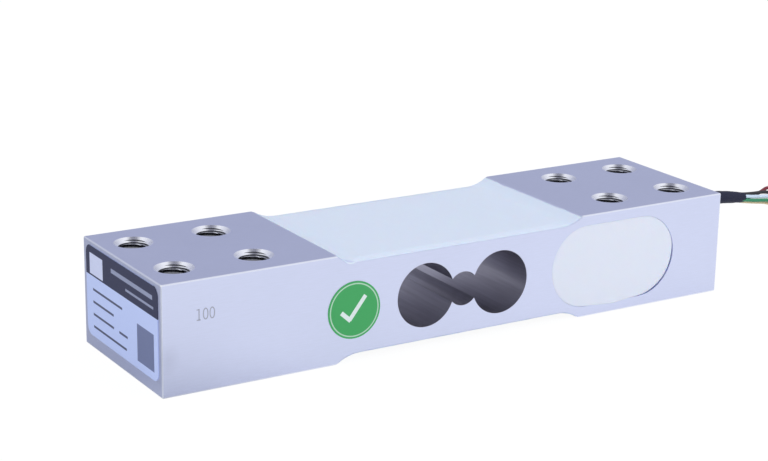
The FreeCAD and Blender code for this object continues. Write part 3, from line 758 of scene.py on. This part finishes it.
cut_tint = place_node(
    tree, "VectorMath", {0: (0.62, 0.64, 0.74), "Scale": painted_thread_shade.outputs[0]}, operation="SCALE"
)
give_grain(tree, shader, position, cut_tint.outputs[0], 0.28, (1500, 1500, 4000), 0.00001, 0.08, 0.1)
threads = keep_shape("screw_threads", thread, cut_thread)
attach(threads, "root")

# ---- Silicone coats on the waists
# A thin coat of white silicone is spread over the gauges on both waists. It runs out thin up the
# round corners, stands as a soft lip along the sides and has crept over the edge at one corner.
waist_floor_depth, waist_flat_half, waist_half, corner_radius = 0.002, 0.027, 0.033, 0.010
coat_half_length, coat_half_width = 0.0326, 0.01985
coat_full, coat_thin, coat_roundover, backing_depth = 0.0005, 0.00019, 0.0003, 0.00003
creep_x, creep_half, creep_reach, creep_out, creep_down = -0.0302, 0.0016, 0.0008, 0.00055, 0.0006


def ease(share):
    """Runs smoothly from 0 to 1."""
    share = min(1.0, max(0.0, share))
    return share * share * (3 - 2 * share)


def waist_height(x):
    """Height of the bare metal on the upper waist."""
    beyond = min(waist_half - waist_flat_half, max(0.0, abs(x) - waist_flat_half))
    return beam_height - waist_floor_depth + corner_radius - math.sqrt(corner_radius**2 - beyond**2)


silicone = grained_material(
    "white_silicone",
    (0.71, 0.785, 0.93),
    0.34,
    (260, 260, 260),
    0.00006,
    mottle=0.03,
    swing=0.12,
    Subsurface_Weight=0.15,
    Subsurface_Scale=0.0006,
    IOR=1.41,
)
for coat_name, node_name, upper in (
    ("top_silicone_coat", "top_coating", True),
    ("bottom_silicone_coat", "bottom_coating", False),
):
    coat = bmesh.new()
    surface = bmesh.ops.create_grid(coat, x_segments=150, y_segments=100, size=1.0)["verts"]
    for corner in surface:
        u, v = corner.co.x, corner.co.y
        x, y = coat_half_length * (1.5 * u - 0.5 * u**3), coat_half_width * (1.5 * v - 0.5 * v**3)
        wander = 0.00012 * noise.noise(Vector((x * 260, y * 260, 3.0 if upper else 9.0)))
        in_x, in_y = coat_half_length - abs(x), coat_half_width - abs(y)
        fullness = ease(min(in_y / 0.0022, (waist_flat_half + 0.0028 - abs(x)) / 0.003))
        rim = min(1.0, min(in_x, in_y) / coat_roundover)
        thick = (coat_thin + (coat_full - coat_thin) * fullness) * math.sqrt(1 - (1 - rim) ** 2)
        thick += 0.00002 * rim * noise.noise(Vector((x * 420, y * 420, 1.0)))
        corner.co = (x + wander * (abs(u) > 0.5) * u, y + wander * (abs(v) > 0.5) * v, thick)
    backing = bmesh.ops.duplicate(coat, geom=coat.verts[:] + coat.edges[:] + coat.faces[:])["geom"]
    backing_faces = [part for part in backing if isinstance(part, bmesh.types.BMFace)]
    bmesh.ops.reverse_faces(coat, faces=backing_faces)
    for part in backing:
        if isinstance(part, bmesh.types.BMVert):
            part.co.z = -backing_depth
    bmesh.ops.bridge_loops(coat, edges=[edge for edge in coat.edges if edge.is_boundary])
    for corner in coat.verts:
        crept = math.exp(-(((corner.co.x - creep_x) / creep_half) ** 2)) if upper else 0.0
        crept *= ease(1 - (corner.co.y + coat_half_width) / creep_reach)
        corner.co.y -= creep_out * crept
        corner.co.z += waist_height(corner.co.x) - creep_down * crept
        if not upper:
            corner.co.z = beam_height - corner.co.z
    bmesh.ops.recalc_face_normals(coat, faces=coat.faces)
    coat_piece = keep_shape(coat_name, coat, silicone, smooth=True)
    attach(coat_piece, "root")
    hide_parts(node_name)

# ---- Potting
# The pocket in the near side is filled flush with the same silicone. It has shrunk a little from the
# wall, most at the lower corner towards the leads, and its face is almost flat.
pocket_margin, pocket_radius, pocket_half_straight, overlap = 0.01425, 0.010, 0.008, 0.00002
pocket_x = lead_end - pocket_margin - pocket_radius - pocket_half_straight
pocket_middle = Vector((pocket_x, -beam_width / 2, beam_height / 2))
plug_back, plug_front, face_level = 0.0048, 0.0006, 0.00011
gap_way, gap_share = Vector((0.82, -0.57)), 0.018
# The face domes up from its rim in these steps: how far in, and how far out of the pocket.
face_steps = [
    (0.00005, 0.00022),
    (0.00009, 0.00013),
    (0.00014, 0.00007),
    (0.0002, 0.00004),
    (0.0006, 0.00002),
    (0.0012, 0.00001),
]
spill_middle, spill_half, spill_down, spill_out = -0.001, 0.0075, 0.0004, 0.00045
potting = bmesh.new()
outline = bmesh.ops.create_circle(
    potting, cap_ends=True, segments=96, radius=pocket_radius + overlap
)["verts"]
for corner in outline:
    x, z = corner.co.x, corner.co.y
    toward_gap = max(0.0, Vector((x, z)).normalized().dot(gap_way))
    shrunk_to = 1 - gap_share * ease((toward_gap - 0.66) / 0.26)
    shift = math.copysign(pocket_half_straight, x) if abs(x) > 1e-6 else 0.0
    corner.co = (x * shrunk_to + shift, plug_back, z * shrunk_to)
front = bmesh.ops.extrude_face_region(potting, geom=potting.faces[:])["geom"]
front_corners = [part for part in front if isinstance(part, bmesh.types.BMVert)]
bmesh.ops.translate(potting, verts=front_corners, vec=(0, plug_front - plug_back, 0))
face = [part for part in front if isinstance(part, bmesh.types.BMFace)]
bmesh.ops.recalc_face_normals(potting, faces=potting.faces)
for inward, forward in face_steps:
    bmesh.ops.inset_region(potting, faces=face, thickness=inward, use_even_offset=True)
    for corner in {corner for part in face for corner in part.verts}:
        corner.co.y -= forward
for corner in potting.verts:
    if corner.co.y < plug_back / 2:
        toward_gap = Vector((corner.co.x * 0.55, corner.co.z)).normalized().dot(gap_way)
        sunk = corner.co.y - face_level
        corner.co.y = face_level + sunk * (0.2 + 0.8 * ease((toward_gap - 0.55) / 0.3))
        along = abs(corner.co.x - spill_middle)
        spill = ease((-corner.co.z - 0.0094) / 0.0005) * ease((spill_half - along) / 0.004)
        corner.co.z -= spill_down * spill
        corner.co.y -= spill_out * spill * ease((-corner.co.z - 0.0096) / 0.0003)
    corner.co += pocket_middle
potting_silicone = grained_material(
    "potting_silicone",
    (0.79, 0.82, 0.92),
    0.32,
    (190, 190, 190),
    0.00008,
    mottle=0.03,
    swing=0.12,
    Subsurface_Weight=0.15,
    Subsurface_Scale=0.0006,
    IOR=1.41,
)
potting_piece = keep_shape("pocket_silicone", potting, potting_silicone, smooth=True)
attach(potting_piece, "root")
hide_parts("pocket_potting")

# ---- Rating label
# A printed polyester label is stuck on the end face. A dark band with a light square runs across its
# head, and below it are plain bars and a square where such a label has its print.
label_x = -0.075
label_white = (0.56, 0.65, 0.99, 1)
# Each print is a colour and its panels: their middles and their half sizes.
label_prints = [
    ((0.030, 0.034, 0.085), [((label_x, 0, 0.02055), (0.01, 0.03, 0.00345))]),
    ((0.66, 0.70, 0.93), [((label_x, 0.0130, 0.0199), (0.01, 0.0035, 0.0024))]),
    (
        (0.30, 0.33, 0.48),
        [
            ((label_x, -0.0055, 0.0212), (0.01, 0.0105, 0.0005)),
            ((label_x, -0.0095, 0.0190), (0.01, 0.0070, 0.00028)),
        ],
    ),
    (
        (0.09, 0.10, 0.18),
        [
            ((label_x, 0.0072, 0.0141), (0.01, 0.0078, 0.00028)),
            ((label_x, 0.0095, 0.0112), (0.01, 0.0055, 0.00028)),
            ((label_x, 0.0095, 0.0083), (0.01, 0.0055, 0.00028)),
            ((label_x, -0.0010, 0.0083), (0.01, 0.0022, 0.00028)),
            ((label_x, 0.0062, 0.0054), (0.01, 0.0088, 0.00028)),
        ],
    ),
    ((0.17, 0.20, 0.36), [((label_x, -0.0123, 0.0090), (0.01, 0.0042, 0.0042))]),
]

# A mask that is 1 inside a panel, with a soft edge.
panel_mask, given, made = new_group(
    "panel_mask",
    {"Vector": ("Vector", None), "Middle": ("Vector", (0, 0, 0)), "Half": ("Vector", (1, 1, 1))},
    {"Mask": "Float"},
)
offset = place_node(
    panel_mask, "VectorMath", {0: given["Vector"], 1: given["Middle"]}, operation="SUBTRACT"
)
apart = place_node(panel_mask, "VectorMath", {0: offset.outputs[0]}, operation="ABSOLUTE")
inside = place_node(
    panel_mask, "VectorMath", {0: given["Half"], 1: apart.outputs[0]}, operation="SUBTRACT"
)
each = place_node(panel_mask, "SeparateXYZ", {0: inside.outputs[0]})
nearest = place_node(panel_mask, "Math", {0: each.outputs[1], 1: each.outputs[2]}, operation="MINIMUM")
nearest = place_node(
    panel_mask, "Math", {0: each.outputs[0], 1: nearest.outputs[0]}, operation="MINIMUM"
)
edge = place_node(
    panel_mask, "MapRange", {"Value": nearest.outputs[0], "From Min": -0.00004, "From Max": 0.00004}
)
panel_mask.links.new(edge.outputs[0], made["Mask"])


def print_panels(tree, position, under, colour, panels):
    """Lays panels of one colour over what is under them. Each has its middle and its half sizes."""
    for middle, half in panels:
        panel = place_node(
            tree,
            "Group",
            {"Vector": position, "Middle": middle, "Half": half},
            node_tree=panel_mask,
        )
        mixed = place_node(
            tree, "MixRGB", {"Fac": panel.outputs[0], "Color1": under, "Color2": (*colour, 1)}
        )
        under = mixed.outputs[0]
    return under


label_film, tree, shader, position = new_material("label_film", IOR=1.4)
printed = label_white
for colour, panels in label_prints:
    printed = print_panels(tree, position, printed, colour, panels)
give_grain(tree, shader, position, printed, 0.5, (1500, 1500, 1500), 0.000006, 0.04, 0.08)
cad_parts["rating_label"].material_slots[0].material = label_film

# ---- Round sticker
# A green printed film disc is stuck on the near side, between the screw holes and the flexure
# bores. It has a fine pale rim and a plain tick.
sticker_middle = Vector((-0.0287, -0.0201, 0.0121))
sticker_green, rim_green = (0.042, 0.38, 0.105, 1), (0.62, 0.82, 0.68, 1)
tick_white = (0.78, 0.86, 0.84)
rim_radius, rim_half, rim_fade, rim_strength = 0.00605, 0.0001, 0.00018, 0.75
sticker_film, tree, shader, position = new_material("sticker_film", IOR=1.5)
from_middle = place_node(
    tree, "VectorMath", {0: position, 1: sticker_middle}, operation="SUBTRACT"
)
flattened = place_node(
    tree, "VectorMath", {0: from_middle.outputs[0], 1: (1, 0, 1)}, operation="MULTIPLY"
)
reach = place_node(tree, "VectorMath", {0: flattened.outputs[0]}, operation="LENGTH")
beyond_rim = place_node(
    tree, "Math", {0: reach.outputs["Value"], 1: rim_radius}, operation="SUBTRACT"
)
from_rim = place_node(tree, "Math", {0: beyond_rim.outputs[0]}, operation="ABSOLUTE")
rim = place_node(
    tree,
    "MapRange",
    {
        "Value": from_rim.outputs[0],
        "From Min": rim_half,
        "From Max": rim_fade,
        "To Min": rim_strength,
        "To Max": 0.0,
    },
)
ringed = place_node(
    tree, "MixRGB", {"Fac": rim.outputs[0], "Color1": sticker_green, "Color2": rim_green}
)
printed = ringed.outputs[0]
# Seen from in front, the tick's long arm rises to the right and its short arm to the left.
for lean, middle, half in (
    (38, (0.0008, 0, 0.0004), (0.0005, 0.01, 0.0033)),
    (-48, (-0.0021, 0, -0.0013), (0.0005, 0.01, 0.0016)),
):
    turned = place_node(
        tree,
        "VectorRotate",
        {"Vector": from_middle.outputs[0], "Center": middle, "Angle": math.radians(-lean)},
        rotation_type="Y_AXIS",
    )
    printed = print_panels(tree, turned.outputs[0], printed, tick_white, [(middle, half)])
give_grain(tree, shader, position, printed, 0.36, (1800, 1800, 1800), 0.00001, 0.06, 0.1)
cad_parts["round_sticker"].material_slots[0].material = sticker_film

# ---- Capacity number
# A plain number is laser marked on the near side, below the outer screw holes. The anodised skin is
# darker and duller there.
number_place, number_squeeze = (-0.0671, -0.02001, 0.01595), 0.80
# The foot of the first figure and its flag: their middles and their half sizes.
first_figure_strokes = [
    ((0.00085, 0.00012), (0.0006, 0.0001)),
    ((0.00058, 0.0024), (0.00032, 0.0001)),
]
marking = bpy.data.curves.new("capacity_number", "FONT")
marking.body = "100"
marking.size = 0.00385
marking.offset = -0.00004
marking.fill_mode = "FRONT"
marked = bpy.data.objects.new("number_text", marking)
bpy.context.scene.collection.objects.link(marked)
number_mesh = evaluated_mesh(marked)
strokes = bmesh.new()
strokes.from_mesh(number_mesh)
bpy.data.meshes.remove(number_mesh)
for middle, half in first_figure_strokes:
    bmesh.ops.create_grid(
        strokes,
        x_segments=1,
        y_segments=1,
        size=1.0,
        matrix=Matrix.Translation((*middle, 0)) @ Matrix.Diagonal((*half, 1, 1)),
    )
bmesh.ops.transform(
    strokes,
    verts=strokes.verts,
    matrix=Matrix.Translation(number_place)
    @ Matrix.Rotation(math.radians(90), 4, "X")
    @ Matrix.Diagonal((number_squeeze, 1, 1, 1)),
)
laser_mark = grained_material(
    "laser_mark", (0.38, 0.39, 0.47), 0.55, (2500, 2500, 2500), 0.00001, mottle=0.3
)
number = keep_shape("capacity_number", strokes, laser_mark)
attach(number, "root")

# ---- Pieces under the silicone
# Foil gauges and their terminals are bonded to the waists under the coats. The wires, the small board
# and the inner leads lie in the pocket, and a silicone seal fills the bore round the sleeve.
# Each finish is a colour, a roughness and how metallic it is.
hidden_finishes = {
    "gauge_film": ((0.42, 0.25, 0.07), 0.35, 0.0),
    "gauge_grid": ((0.60, 0.52, 0.42), 0.3, 1.0),
    "terminal_strip": ((0.72, 0.42, 0.26), 0.3, 1.0),
    "gauge_wires": ((0.45, 0.13, 0.05), 0.25, 0.0),
    "bridge_board": ((0.03, 0.16, 0.06), 0.35, 0.0),
    "board_pads": ((0.72, 0.42, 0.26), 0.3, 1.0),
    "trim_resistors": ((0.03, 0.03, 0.03), 0.4, 0.0),
    "inner_leads": ((0.30, 0.30, 0.32), 0.4, 0.0),
    "exit_seal": ((0.76, 0.82, 0.92), 0.34, 0.0),
}
for kind, (colour, roughness, metallic) in hidden_finishes.items():
    finish = grained_material(
        f"{kind}_finish", colour, roughness, (2000, 2000, 2000), 0.00001, Metallic=metallic
    )
    for node_name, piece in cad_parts.items():
        if node_name.startswith(kind):
            piece.material_slots[0].material = finish
